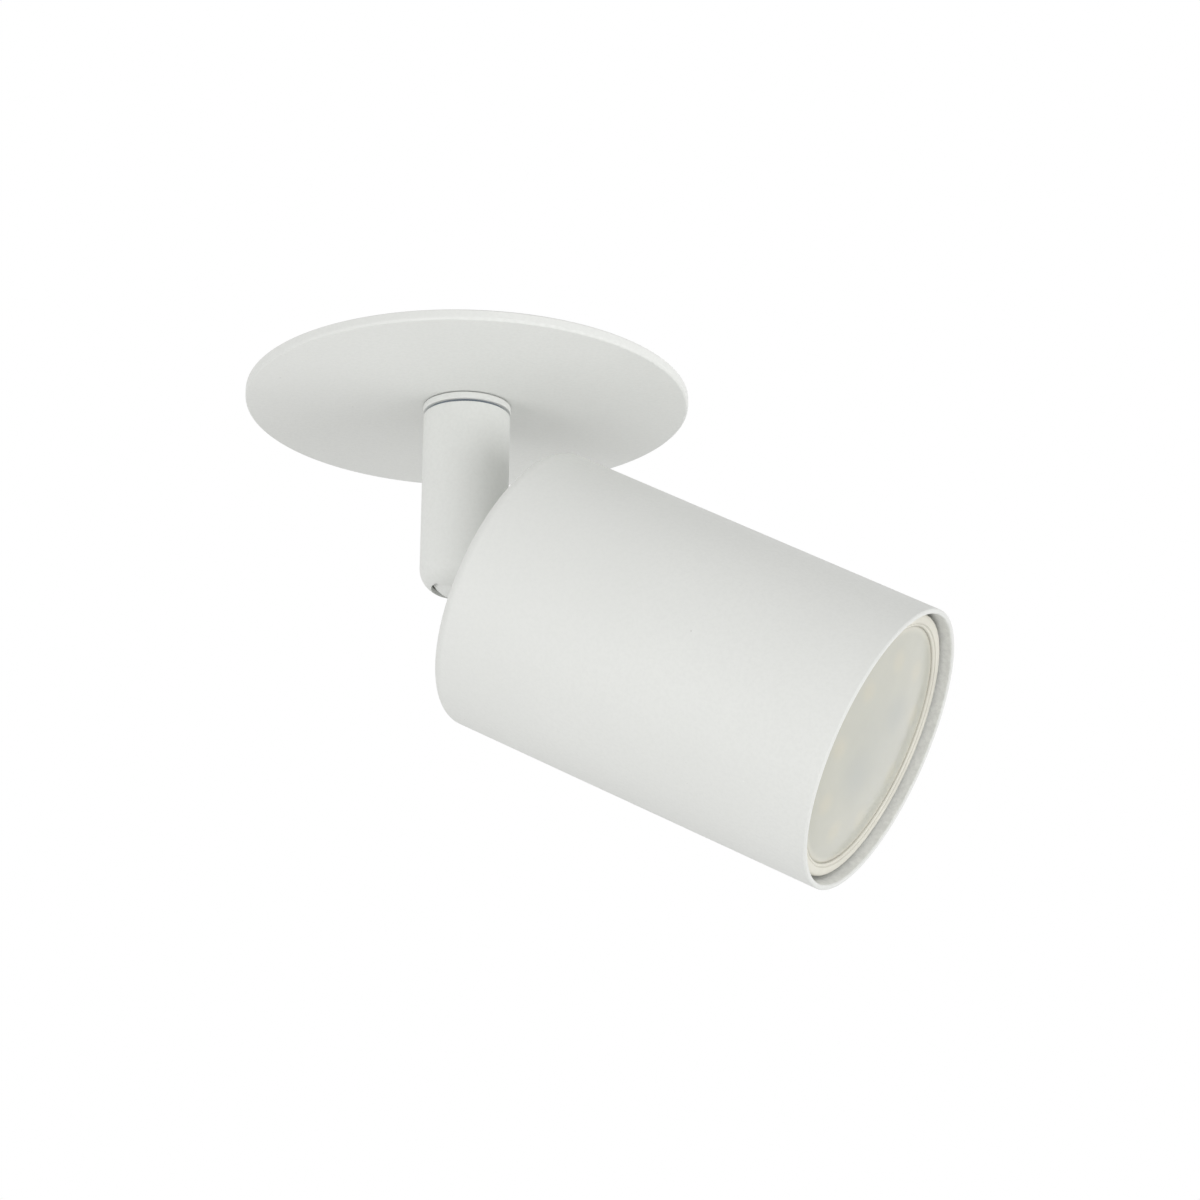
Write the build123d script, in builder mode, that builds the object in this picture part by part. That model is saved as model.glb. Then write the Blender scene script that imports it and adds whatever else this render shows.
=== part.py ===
"""A recessed spotlight: ceiling plate, swivelling stem, tilting cylindrical head and a reflector lamp.

The origin is the centre of the ceiling plate's upper face, where it meets the ceiling, and +Z is up.
The head is modelled as it hangs at rest, turned by head_azimuth and tipped by head_drop.
"""
from build123d import *
from math import asin, atan2, cos, degrees, pi, radians, sin, sqrt, tan
import os

os.makedirs("parts", exist_ok=True)

# Clearances
running_gap = 0.05
thread_gap = 0.04
free_gap = 0.3
hole_gap = 0.2

# Slot in the heads of the small screws
screw_slot_width = 0.8

# Ceiling plate, collar and the washer in the groove below the collar
plate_diameter = 83.0
plate_thickness = 1.9
plate_lower_round = 0.5
plate_upper_round = 0.2
collar_diameter = 16.5
collar_height = 1.45
collar_round = 0.15
collar_seam = 0.2
groove_diameter = 15.0
groove_height = 0.5

# Hollow swivel spigot that carries the stem
spigot_diameter = 10.0
spigot_bore = 6.4
spigot_engagement = 9.5
spigot_proud = 0.7

# Stem with its slotted, rounded lower end
stem_diameter = 16.2
stem_top_round = 0.25
pivot_drop = 31.5
stem_tail = 5.9
stem_corner_round = 4.6
stem_crown_radius = 22.0
stem_wire_bore = 5.0
cheek_thickness = 3.65
slot_lip = 2.2
ball_wall = 1.0

# Knuckle and the screw it turns on
ball_edge_round = 0.2
flange_diameter = 15.0
flange_thickness = 1.5
lead_channel_width = 1.8
lead_channel_height = 3.4
channel_mouth_start = 3.4
channel_mouth_length = 3.2
pivot_diameter = 4.0
pivot_blind_wall = 1.05
pivot_head_diameter = 6.8
pivot_head_height = 1.8
pivot_head_sink = 0.7
pivot_key_across_flats = 2.5
pivot_key_depth = 1.1

# Head
head_azimuth = -17.4
head_drop = 28.0
head_diameter = 54.0
head_length = 77.7
head_wall = 1.0
head_rear_wall = 2.5
head_rear_round = 2.0
head_rim_round = 0.35
head_inner_round = 1.0
head_gap = 10.8

# Lamp
lamp_recess = 1.9
lamp_length = 54.0
bezel_diameter = 50.4
bezel_width = 2.4
bezel_depth = 3.6
bezel_lip = 1.2
bezel_wall = 0.8
bezel_inner_round = 0.4
bezel_outer_round = 0.6
diffuser_recess = 0.4
diffuser_thickness = 1.2
diffuser_dome = 1.3
housing_wall = 1.2
housing_neck_diameter = 29.0
lamp_base_diameter = 25.0
lamp_base_length = 14.4
lamp_nose_diameter = 18.0
lamp_nose_length = 5.0
lamp_base_round = 1.0
lamp_edge_round = 0.3
pin_spacing = 10.0
pin_neck_diameter = 3.0
pin_head_diameter = 4.8
pin_head_height = 2.4
pin_length = 7.0
lamp_unlock_angle = 25.0
led_board_thickness = 1.6
led_board_depth = 6.2
led_count = 9
led_circle_diameter = 33.0
led_size = 2.8
led_height = 0.7
driver_board_width = 17.0
driver_board_thickness = 1.2
capacitor_diameter = 6.3
capacitor_length = 9.0
coil_size = 7.0
chip_length = 7.0
chip_height = 2.3
driver_margin = 7.0

# Lamp holder and its bracket
holder_diameter = 27.0
holder_depth = 13.0
holder_cavity_diameter = 13.0
holder_cavity_depth = 3.4
holder_edge_round = 0.3
holder_screw_spacing = 21.4
holder_screw_diameter = 2.5
holder_screw_head_diameter = 4.4
holder_screw_head_height = 1.6
holder_screw_sink = 3.0
contact_width = 3.4
contact_thickness = 0.6
contact_tail_diameter = 1.4
contact_tail_proud = 0.8
bracket_sheet = 1.0
bracket_width = 13.0
bracket_span = 31.0
bracket_foot_edge = 2.7
knuckle_nut_across_flats = 14.0
knuckle_nut_height = 3.0
knuckle_washer_thickness = 0.8
knuckle_washer_diameter = 14.6
knuckle_thread_proud = 0.9

# Mounting bracket behind the ceiling plate
base_sheet = 1.2
base_end_edge = 0.5
base_half_width = 8.5
base_tail_half_width = 10.5
base_tail_edge = 1.0
base_corner_round = 2.0
stud_diameter = 3.0
stud_height = 6.0
stud_chamfer = 0.4
stud_tab_gap = 0.9
nut_across_flats = 5.5
nut_height = 2.4
tag_diameter = 6.6
tag_thickness = 0.8
tag_blade_width = 4.0
tag_blade_height = 6.5
stop_pin_diameter = 1.6
stop_pin_radius = 8.7

# Swivel stack above the bracket
friction_washer_diameter = 15.0
friction_washer_sheet = 0.4
friction_washer_rise = 0.9
stop_washer_diameter = 14.4
stop_washer_thickness = 0.8
stop_tab_reach = 9.4
stop_tab_width = 1.8
swivel_nut_across_flats = 14.0
swivel_nut_height = 2.5
bushing_flange_diameter = 9.2
bushing_flange_height = 1.0
bushing_bore = 3.5
bushing_tail = 5.0
bushing_round = 0.3

# Sprung ceiling clips
clip_pin_setback = 5.0
clip_pin_height = 7.0
clip_pin_diameter = 3.0
clip_pin_head_diameter = 4.6
clip_pin_head_height = 0.8
saddle_sheet = 1.0
saddle_half_gap = 6.0
saddle_stud_gap = 0.6
saddle_length = 9.0
saddle_lug_radius = 3.0
rivet_diameter = 2.2
rivet_head_diameter = 3.6
rivet_head_height = 0.7
rivet_head_round = 0.4
rivet_half_spacing = 3.0
rivet_offset = 1.0
clip_tip_gap = 0.3
arm_sheet = 1.0
arm_half_width = 5.0
arm_tab_sheet = 0.8
arm_hub_radius = 2.4
arm_web_start = 4.4
arm_tab_reach = 7.5
arm_tab_drop = 1.6
arm_tip = 17.0
pad_length = 4.6
pad_wall = 0.8
pad_side_wall = 0.6
pad_edge_round = 0.5
spring_wire = 1.0
spring_coil_radius = 2.7
spring_pitch = 1.55
spring_whole_turns = 4
spring_hook_reach = 9.5
spring_hook_radius = 1.1
spring_samples = 600

# Terminal block, cable clamp and leads
block_front = 10.0
block_depth = 12.0
block_width = 17.0
block_top_wall = 2.6
block_edge_round = 0.6
pole_spacing = 8.0
tube_diameter = 4.4
tube_bore = 3.0
tube_inset = 0.5
tube_web = 1.0
terminal_screw_diameter = 2.0
terminal_screw_length = 3.0
terminal_screw_inset = 3.4
screw_slot_depth = 0.7
block_screw_diameter = 2.5
block_screw_head_diameter = 4.6
block_screw_head_height = 1.6
block_screw_head_depth = 2.2
cable_diameter = 7.2
clamp_width = 6.0
clamp_sheet = 1.2
clamp_block_gap = 2.0
clamp_foot = 5.4
clamp_screw_diameter = 2.5
clamp_screw_head_diameter = 4.4
clamp_screw_head_height = 1.5
lead_diameter = 1.3
lead_half_spacing = 0.78
lead_rise = 3.9
lead_straight = 2.0
lead_in_tube = 3.6
lead_start = 7.4
lead_clear = 1.6
lead_square = 3.9
lead_spread = 0.6
bend_share = 0.45

# Heights and directions that follow from those sizes
plate_radius = plate_diameter / 2
spigot_radius = spigot_diameter / 2
stem_radius = stem_diameter / 2
collar_bottom = -plate_thickness - collar_height
stem_top = collar_bottom - groove_height
pivot_height = -plate_thickness - pivot_drop
stem_bottom = pivot_height - stem_tail
slot_width = stem_diameter - 2 * cheek_thickness
slot_reach = stem_radius - slot_lip
ball_pocket_radius = stem_radius - ball_wall
ball_radius = ball_pocket_radius - free_gap
ball_width = slot_width - 2 * hole_gap
neck_corner_radius = slot_reach - free_gap
neck_height = 2 * sqrt(neck_corner_radius**2 - (ball_width / 2) ** 2)
slot_roof = pivot_height + ball_pocket_radius
pivot_thread_length = cheek_thickness - pivot_blind_wall
stop_washer_bottom = base_sheet + friction_washer_rise
stop_washer_top = stop_washer_bottom + stop_washer_thickness
stop_pin_top = stop_washer_bottom + stop_washer_thickness / 2
swivel_nut_top = stop_washer_top + swivel_nut_height
spigot_top = swivel_nut_top + spigot_proud
lead_exit = spigot_top + bushing_flange_height
lead_bend = lead_rise / sqrt(2)
lead_height = lead_exit + lead_rise + lead_bend
clamp_y = block_front + block_depth + clamp_block_gap + clamp_width / 2
base_tail_reach = clamp_y + clamp_width / 2 + base_tail_edge
bracket_foot = (bracket_span - holder_screw_spacing) / 2 + bracket_foot_edge
stud_half_spacing = stop_tab_reach + stud_tab_gap + tag_diameter / 2
saddle_inner_x = stud_half_spacing + tag_diameter / 2 + saddle_stud_gap
saddle_outer_x = saddle_inner_x + saddle_length
clip_pin_x = saddle_inner_x + clip_pin_setback
base_half_length = saddle_outer_x + base_end_edge

head_front = head_gap + head_length
rear_wall_inside = head_gap + head_rear_wall
bracket_base_top = rear_wall_inside + bracket_sheet
knuckle_nut_start = bracket_base_top + knuckle_washer_thickness
knuckle_nut_end = knuckle_nut_start + knuckle_nut_height
knuckle_end = knuckle_nut_end + knuckle_thread_proud
lamp_face = head_front - lamp_recess
lamp_base_end = lamp_face - lamp_length + pin_length
holder_front = lamp_base_end - free_gap
holder_rear = holder_front - holder_depth
lamp_base_start = lamp_base_end + lamp_base_length
pin_end = lamp_base_end - pin_length
holder_slot_floor = pin_end - free_gap - contact_thickness
holder_lip_end = pin_end + pin_head_height + free_gap
holder_cavity_floor = holder_rear + holder_cavity_depth
contact_tail_end = holder_cavity_floor - contact_tail_proud
holder_screw_places = [(0, -holder_screw_spacing / 2), (0, holder_screw_spacing / 2)]
led_board_front = lamp_face - led_board_depth
led_board_back = led_board_front - led_board_thickness

upward = Vector(0, 0, 1)
outward = Vector(cos(radians(head_azimuth)), sin(radians(head_azimuth)), 0)
tilt_axis = Vector(-outward.Y, outward.X, 0)
head_axis = outward * cos(radians(head_drop)) - upward * sin(radians(head_drop))
head_rise = outward * sin(radians(head_drop)) + upward * cos(radians(head_drop))
pivot_point = Vector(0, 0, pivot_height)
head_line = Axis(pivot_point, head_axis)

stem_side = Plane(origin=pivot_point, x_dir=outward, z_dir=-tilt_axis)
head_side = Plane(origin=pivot_point, x_dir=head_axis, z_dir=-tilt_axis)


def level(height):
    """The horizontal plane at a height, with X towards the head's side."""
    return Plane(origin=(0, 0, height), x_dir=outward, z_dir=(0, 0, 1))


def head_section(distance):
    """The plane square to the head's axis at a distance from the pivot, with X along the pivot."""
    return Plane(origin=pivot_point + head_axis * distance, x_dir=tilt_axis, z_dir=head_axis)


def finish(builder, name):
    """Labels a finished piece and writes it."""
    builder.part.label = name
    export_step(builder.part, f"parts/{name}.step")


def hex_radius(across_flats):
    return across_flats / sqrt(3)


def turned(points, plane, axis, rounds=0):
    """A solid turned about an axis from the closed outline through the points, with rounded corners."""
    with BuildPart() as piece:
        with BuildSketch(plane):
            with BuildLine():
                if rounds:
                    FilletPolyline(*points, radius=rounds, close=True)
                else:
                    Polyline(*points, close=True)
            make_face()
        revolve(axis=axis)
    return piece


def disc(plane, radius, height, bore=0.0):
    """A flat disc or ring standing on a plane."""
    with BuildPart() as piece:
        with BuildSketch(plane):
            Circle(radius)
            if bore > 0:
                Circle(bore, mode=Mode.SUBTRACT)
        extrude(amount=height)
    return piece


def cheese_screws(plane, places, shank, length, head, head_height):
    """Screws whose slotted heads stand on a plane and whose shanks run the other way."""
    with BuildPart() as screws:
        with BuildSketch(plane):
            with Locations(*places):
                Circle(head / 2)
        extrude(amount=head_height)
        with BuildSketch(plane):
            with Locations(*places):
                Circle(shank / 2)
        extrude(amount=-length)
        with BuildSketch(plane.offset(head_height / 2)):
            with Locations(*places):
                Rectangle(head, screw_slot_width)
        extrude(amount=head_height, mode=Mode.SUBTRACT)
    return screws


def bend_radii(route):
    """The radius of each bend of a lead, as wide as its two runs allow."""
    radii = []
    for before, corner, after in zip(route, route[1:], route[2:]):
        arriving = corner - before
        leaving = after - corner
        half_turn = radians(arriving.get_angle(leaving)) / 2
        radii.append(bend_share * min(arriving.length, leaving.length) / tan(half_turn))
    return radii


# Ceiling plate
plate_hole = spigot_radius + free_gap
with BuildPart() as ceiling_plate:
    with BuildSketch(Plane.XY):
        Circle(plate_radius)
        Circle(plate_hole, mode=Mode.SUBTRACT)
    extrude(amount=-plate_thickness)
    lower_rim = ceiling_plate.edges().group_by(Axis.Z)[0].sort_by(SortBy.RADIUS)[-1]
    fillet(lower_rim, radius=plate_lower_round)
    upper_rim = ceiling_plate.edges().group_by(Axis.Z)[-1].sort_by(SortBy.RADIUS)[-1]
    fillet(upper_rim, radius=plate_upper_round)
finish(ceiling_plate, "ceiling_plate")

# Collar under the plate, which guides the spigot, with a fine seam where it meets the plate
with BuildPart() as collar_ring:
    with BuildSketch(Plane.XY.offset(-plate_thickness)):
        Circle(groove_diameter / 2)
    extrude(amount=-collar_height)
    with BuildSketch(Plane.XY.offset(collar_bottom)):
        Circle(collar_diameter / 2)
    extrude(amount=collar_height - collar_seam)
    fillet(collar_ring.edges().filter_by(GeomType.CIRCLE).sort_by(SortBy.RADIUS)[-2:], radius=collar_round)
    with BuildSketch(Plane.XY.offset(-plate_thickness)):
        Circle(spigot_radius + running_gap)
    extrude(amount=-collar_height, mode=Mode.SUBTRACT)
finish(collar_ring, "collar_ring")

# Washer that shows as the groove between collar and stem
swivel_washer = disc(Plane.XY.offset(stem_top), groove_diameter / 2, groove_height, plate_hole)
finish(swivel_washer, "swivel_washer")

# Studs welded to the back of the plate
stud_places = [(-stud_half_spacing, 0), (stud_half_spacing, 0)]
with BuildPart() as weld_studs:
    with BuildSketch(Plane.XY):
        with Locations(*stud_places):
            Circle(stud_diameter / 2)
    extrude(amount=stud_height)
    chamfer(weld_studs.edges().group_by(Axis.Z)[-1], length=stud_chamfer)
finish(weld_studs, "weld_studs")

# Pressed bracket on the back of the plate
stop_pin_angle = radians(head_azimuth - 90)
stop_pin_place = (stop_pin_radius * cos(stop_pin_angle), stop_pin_radius * sin(stop_pin_angle))
rivet_x = clip_pin_x + rivet_offset
rivet_places = [(side * rivet_x, row * rivet_half_spacing) for side in (-1, 1) for row in (-1, 1)]
clamp_screw_x = cable_diameter / 2 + clamp_sheet + clamp_foot / 2
clamp_screw_places = [(-clamp_screw_x, clamp_y), (clamp_screw_x, clamp_y)]
block_centre_y = block_front + block_depth / 2
base_tail_length = base_tail_reach + base_half_width
with BuildPart() as mounting_bracket:
    with BuildSketch(Plane.XY) as bracket_outline:
        Rectangle(2 * base_half_length, 2 * base_half_width)
        with Locations((0, base_tail_reach - base_tail_length / 2)):
            Rectangle(2 * base_tail_half_width, base_tail_length)
        fillet(bracket_outline.vertices(), radius=base_corner_round)
        Circle(plate_hole, mode=Mode.SUBTRACT)
        with Locations(*stud_places):
            Circle(stud_diameter / 2 + hole_gap, mode=Mode.SUBTRACT)
        with Locations(stop_pin_place):
            Circle(stop_pin_diameter / 2, mode=Mode.SUBTRACT)
        with Locations(*rivet_places):
            Circle(rivet_diameter / 2, mode=Mode.SUBTRACT)
        with Locations(*clamp_screw_places):
            Circle(clamp_screw_diameter / 2 + thread_gap, mode=Mode.SUBTRACT)
        with Locations((0, block_centre_y)):
            Circle(block_screw_diameter / 2 + thread_gap, mode=Mode.SUBTRACT)
    extrude(amount=base_sheet)
finish(mounting_bracket, "mounting_bracket")

# Nuts on the studs, with a plain washer under one and the earth tag under the other
tag_top = base_sheet + tag_thickness
with BuildPart() as stud_nuts:
    with BuildSketch(Plane.XY.offset(tag_top)):
        with Locations(*stud_places):
            RegularPolygon(hex_radius(nut_across_flats), 6)
            Circle(stud_diameter / 2 + thread_gap, mode=Mode.SUBTRACT)
    extrude(amount=nut_height)
finish(stud_nuts, "stud_nuts")

with BuildPart() as stud_washer:
    with BuildSketch(Plane.XY.offset(base_sheet)):
        with Locations(stud_places[0]):
            Circle(tag_diameter / 2)
            Circle(stud_diameter / 2 + hole_gap, mode=Mode.SUBTRACT)
    extrude(amount=tag_thickness)
finish(stud_washer, "stud_washer")

tag_reach = tag_diameter / 2 + tag_thickness
with BuildPart() as earth_tag:
    with BuildSketch(Plane.XY.offset(base_sheet)):
        with Locations(stud_places[1]):
            Circle(tag_diameter / 2)
            with Locations((0, -tag_reach / 2)):
                Rectangle(tag_blade_width, tag_reach)
            Circle(stud_diameter / 2 + hole_gap, mode=Mode.SUBTRACT)
    extrude(amount=tag_thickness)
    with BuildSketch(Plane.XY.offset(base_sheet)):
        with Locations((stud_places[1][0], -tag_reach + tag_thickness / 2)):
            Rectangle(tag_blade_width, tag_thickness)
    extrude(amount=tag_blade_height)
finish(earth_tag, "earth_tag")

# Pin that stops the stem just short of a full turn
with BuildPart() as stop_pin:
    with BuildSketch(Plane.XY):
        with Locations(stop_pin_place):
            Circle(stop_pin_diameter / 2)
    extrude(amount=stop_pin_top)
finish(stop_pin, "stop_pin")

# Slot in the stem's lower end, with a round pocket for the ball behind its lip
with BuildPart() as ball_slot:
    with Locations(pivot_point):
        Sphere(ball_pocket_radius)
    with BuildSketch(level(stem_bottom)):
        Circle(slot_reach)
        with Locations((stem_radius / 2, 0)):
            Rectangle(stem_radius, slot_width)
    extrude(amount=slot_roof - stem_bottom)
    with BuildSketch(level(stem_bottom)):
        Rectangle(stem_diameter, slot_width)
    extrude(amount=slot_roof - stem_bottom, mode=Mode.INTERSECT)

# Stem, turned from bar, with its threaded socket and wire bore
socket_bottom = stem_top - spigot_engagement
crown_edge = stem_bottom + stem_crown_radius - sqrt(stem_crown_radius**2 - stem_radius**2)
pivot_head_seat = stem_radius - pivot_head_sink - pivot_head_height
with BuildPart() as stem:
    with BuildSketch(stem_side) as stem_profile:
        with BuildLine():
            Line((0, stem_top - pivot_height), (stem_radius, stem_top - pivot_height))
            Line((stem_radius, stem_top - pivot_height), (stem_radius, crown_edge - pivot_height))
            crown_centre = stem_bottom + stem_crown_radius - pivot_height
            crown_angle = degrees(asin(stem_radius / stem_crown_radius))
            CenterArc((0, crown_centre), stem_crown_radius, -90, crown_angle)
            Line((0, stem_bottom - pivot_height), (0, stem_top - pivot_height))
        make_face()
        corner = stem_profile.vertices().group_by(Axis.X)[-1].sort_by(Axis.Y)
        fillet(corner[0], radius=stem_corner_round)
    revolve(axis=Axis.Z)
    stem_rim = stem.edges().group_by(Axis.Z)[-1]
    fillet(stem_rim, radius=stem_top_round)
    with BuildSketch(level(stem_top)):
        Circle(spigot_radius + thread_gap)
    extrude(amount=-spigot_engagement, mode=Mode.SUBTRACT)
    with BuildSketch(level(slot_roof)):
        Circle(stem_wire_bore / 2)
    extrude(amount=socket_bottom - slot_roof, mode=Mode.SUBTRACT)
    add(ball_slot.part, mode=Mode.SUBTRACT)
    with BuildSketch(stem_side.offset(-stem_radius)):
        Circle(pivot_diameter / 2 + hole_gap)
    extrude(amount=cheek_thickness, mode=Mode.SUBTRACT)
    with BuildSketch(stem_side.offset(-stem_radius)):
        Circle(pivot_head_diameter / 2 + hole_gap)
    extrude(amount=stem_radius - pivot_head_seat, mode=Mode.SUBTRACT)
    with BuildSketch(stem_side):
        Circle(pivot_diameter / 2 + thread_gap)
    extrude(amount=slot_width / 2 + pivot_thread_length, mode=Mode.SUBTRACT)
finish(stem, "stem")

# Hollow spigot from the stem up through collar, plate and bracket
spigot_length = spigot_top - socket_bottom
swivel_spigot = disc(level(socket_bottom), spigot_radius, spigot_length, spigot_bore / 2)
finish(swivel_spigot, "swivel_spigot")

# Dished friction washer, stop washer with its tab, and nut
friction_inner = spigot_radius + hole_gap
friction_outer = friction_washer_diameter / 2
friction_outline = [
    (friction_outer, base_sheet),
    (friction_outer, base_sheet + friction_washer_sheet),
    (friction_inner, stop_washer_bottom),
    (friction_inner, stop_washer_bottom - friction_washer_sheet),
]
friction_washer = turned(friction_outline, Plane.XZ, Axis.Z)
finish(friction_washer, "friction_washer")

with BuildPart() as stop_washer:
    with BuildSketch(level(stop_washer_bottom)):
        Circle(stop_washer_diameter / 2)
        with Locations((0, stop_tab_reach / 2)):
            Rectangle(stop_tab_width, stop_tab_reach)
        Circle(spigot_radius + thread_gap, mode=Mode.SUBTRACT)
    extrude(amount=stop_washer_thickness)
finish(stop_washer, "stop_washer")

with BuildPart() as swivel_nut:
    with BuildSketch(level(stop_washer_top)):
        RegularPolygon(hex_radius(swivel_nut_across_flats), 6)
        Circle(spigot_radius + thread_gap, mode=Mode.SUBTRACT)
    extrude(amount=swivel_nut_height)
finish(swivel_nut, "swivel_nut")

# Plastic bushing that keeps the leads off the spigot's edge
with BuildPart() as spigot_bushing:
    with BuildSketch(level(spigot_top - bushing_tail)):
        Circle(spigot_bore / 2 - thread_gap)
    extrude(amount=bushing_tail)
    with BuildSketch(level(spigot_top)):
        Circle(bushing_flange_diameter / 2)
    extrude(amount=bushing_flange_height)
    fillet(spigot_bushing.edges().group_by(Axis.Z)[-1], radius=bushing_round)
    with BuildSketch(level(lead_exit)):
        Circle(bushing_bore / 2)
    extrude(amount=-bushing_tail - bushing_flange_height, mode=Mode.SUBTRACT)
finish(spigot_bushing, "spigot_bushing")

# Screw that the head tilts on, entered from the side away from the blind cheek
pivot_head_plane = stem_side.offset(-pivot_head_seat)
pivot_shank = pivot_head_seat + slot_width / 2 + pivot_thread_length - hole_gap
with BuildPart() as pivot_screw:
    with BuildSketch(pivot_head_plane):
        Circle(pivot_head_diameter / 2)
    extrude(amount=-pivot_head_height)
    with BuildSketch(pivot_head_plane):
        Circle(pivot_diameter / 2)
    extrude(amount=pivot_shank)
    with BuildSketch(pivot_head_plane.offset(-pivot_head_height)):
        RegularPolygon(hex_radius(pivot_key_across_flats), 6)
    extrude(amount=pivot_key_depth, mode=Mode.SUBTRACT)
finish(pivot_screw, "pivot_screw")

# Leads inside the stem
with BuildPart() as stem_leads:
    with BuildSketch(level(slot_roof)):
        with Locations((-lead_half_spacing, 0), (lead_half_spacing, 0)):
            Circle(lead_diameter / 2)
    extrude(amount=lead_exit - slot_roof)
finish(stem_leads, "stem_leads")

# Knuckle: a ball with two flats, its neck, a flange and a threaded end through the head's rear wall
flange_start = head_gap - flange_thickness
with BuildPart() as knuckle_ball:
    with Locations(pivot_point):
        Sphere(ball_radius)
    with BuildSketch(head_side.offset(-ball_width / 2)):
        Rectangle(2 * ball_radius, 2 * ball_radius)
    extrude(amount=ball_width, mode=Mode.INTERSECT)
    flat_rims = knuckle_ball.edges().filter_by(lambda edge: edge.is_closed)
    fillet(flat_rims, radius=ball_edge_round)
    with BuildSketch(head_side):
        with Locations((flange_start / 2, 0)):
            Rectangle(flange_start, neck_height)
    extrude(amount=ball_width / 2, both=True)
    with BuildSketch(head_section(flange_start)):
        Circle(flange_diameter / 2)
    extrude(amount=flange_thickness)
    with BuildSketch(head_section(head_gap)):
        Circle(spigot_radius)
    extrude(amount=knuckle_end - head_gap)
    with BuildSketch(head_section(channel_mouth_start)):
        Rectangle(lead_channel_width, lead_channel_height)
    extrude(amount=knuckle_end - channel_mouth_start, mode=Mode.SUBTRACT)
    with BuildSketch(head_side):
        with Locations((channel_mouth_start + channel_mouth_length / 2, ball_radius / 2)):
            Rectangle(channel_mouth_length, ball_radius)
    extrude(amount=lead_channel_width / 2, both=True, mode=Mode.SUBTRACT)
    with BuildSketch(head_side):
        Circle(pivot_diameter / 2 + running_gap)
    extrude(amount=ball_width, both=True, mode=Mode.SUBTRACT)
finish(knuckle_ball, "knuckle_ball")

# Head casing: a tube with a rounded rear end and a thin open rim
head_radius = head_diameter / 2
head_bore = head_radius - head_wall
casing_outline = [
    (head_gap, spigot_radius + hole_gap),
    (head_gap, head_radius),
    (head_front, head_radius),
    (head_front, head_bore),
    (rear_wall_inside, head_bore),
    (rear_wall_inside, spigot_radius + hole_gap),
]
casing_rounds = [0, head_rear_round, head_rim_round, head_rim_round, head_inner_round, 0]
head_casing = turned(casing_outline, head_side, head_line, casing_rounds)
finish(head_casing, "head_casing")

# Bracket, lock washer and nut on the knuckle's threaded end
with BuildPart() as holder_bracket:
    with BuildSketch(head_section(rear_wall_inside)):
        Rectangle(bracket_width, bracket_span)
        Circle(spigot_radius + hole_gap, mode=Mode.SUBTRACT)
    extrude(amount=bracket_sheet)
    with BuildSketch(head_section(rear_wall_inside)):
        with Locations((0, (bracket_span - bracket_sheet) / 2), (0, (bracket_sheet - bracket_span) / 2)):
            Rectangle(bracket_width, bracket_sheet)
    extrude(amount=holder_rear - rear_wall_inside)
    with BuildSketch(head_section(holder_rear)):
        with Locations((0, (bracket_span - bracket_foot) / 2), (0, (bracket_foot - bracket_span) / 2)):
            Rectangle(bracket_width, bracket_foot)
        with Locations(*holder_screw_places):
            Circle(holder_screw_diameter / 2 + thread_gap, mode=Mode.SUBTRACT)
    extrude(amount=-bracket_sheet)
finish(holder_bracket, "holder_bracket")

knuckle_lock_washer = disc(
    head_section(bracket_base_top),
    knuckle_washer_diameter / 2,
    knuckle_washer_thickness,
    spigot_radius + hole_gap,
)
finish(knuckle_lock_washer, "knuckle_lock_washer")

with BuildPart() as knuckle_nut:
    with BuildSketch(head_section(knuckle_nut_start)):
        RegularPolygon(hex_radius(knuckle_nut_across_flats), 6)
        Circle(spigot_radius + thread_gap, mode=Mode.SUBTRACT)
    extrude(amount=knuckle_nut_height)
finish(knuckle_nut, "knuckle_nut")

# Ceramic lamp holder: round entries for the pin heads, and narrower slots that the necks twist along
pin_places = [(-pin_spacing / 2, 0), (pin_spacing / 2, 0)]
entry_angle = radians(lamp_unlock_angle)
entry_place = (pin_spacing / 2 * cos(entry_angle), pin_spacing / 2 * sin(entry_angle))
entry_places = [entry_place, (-entry_place[0], -entry_place[1])]
with BuildPart() as lamp_holder:
    with BuildSketch(head_section(holder_rear)):
        Circle(holder_diameter / 2)
    extrude(amount=holder_depth)
    rims = lamp_holder.edges().filter_by(GeomType.CIRCLE)
    fillet(rims, radius=holder_edge_round)
    for top, width in ((holder_front, pin_neck_diameter), (holder_lip_end, pin_head_diameter)):
        with BuildSketch(head_section(top)):
            for start in (0, 180):
                end = start + lamp_unlock_angle
                turn = Edge.make_circle(pin_spacing / 2, start_angle=start, end_angle=end)
                SlotArc(turn, width + 2 * free_gap)
        extrude(amount=holder_slot_floor - top, mode=Mode.SUBTRACT)
    with BuildSketch(head_section(holder_front)):
        with Locations(*entry_places):
            Circle(pin_head_diameter / 2 + free_gap)
    extrude(amount=holder_slot_floor - holder_front, mode=Mode.SUBTRACT)
    with BuildSketch(head_section(holder_rear)):
        Circle(holder_cavity_diameter / 2)
    extrude(amount=holder_cavity_depth, mode=Mode.SUBTRACT)
    with BuildSketch(head_section(holder_cavity_floor)):
        with Locations(*pin_places):
            Circle(contact_tail_diameter / 2 + thread_gap)
    extrude(amount=holder_slot_floor - holder_cavity_floor, mode=Mode.SUBTRACT)
    with BuildSketch(head_section(holder_rear)):
        with Locations(*holder_screw_places):
            Circle(holder_screw_diameter / 2 + hole_gap)
    extrude(amount=holder_depth, mode=Mode.SUBTRACT)
    with BuildSketch(head_section(holder_front)):
        with Locations(*holder_screw_places):
            Circle(holder_screw_head_diameter / 2 + hole_gap)
    extrude(amount=-holder_screw_sink, mode=Mode.SUBTRACT)
finish(lamp_holder, "lamp_holder")

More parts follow.
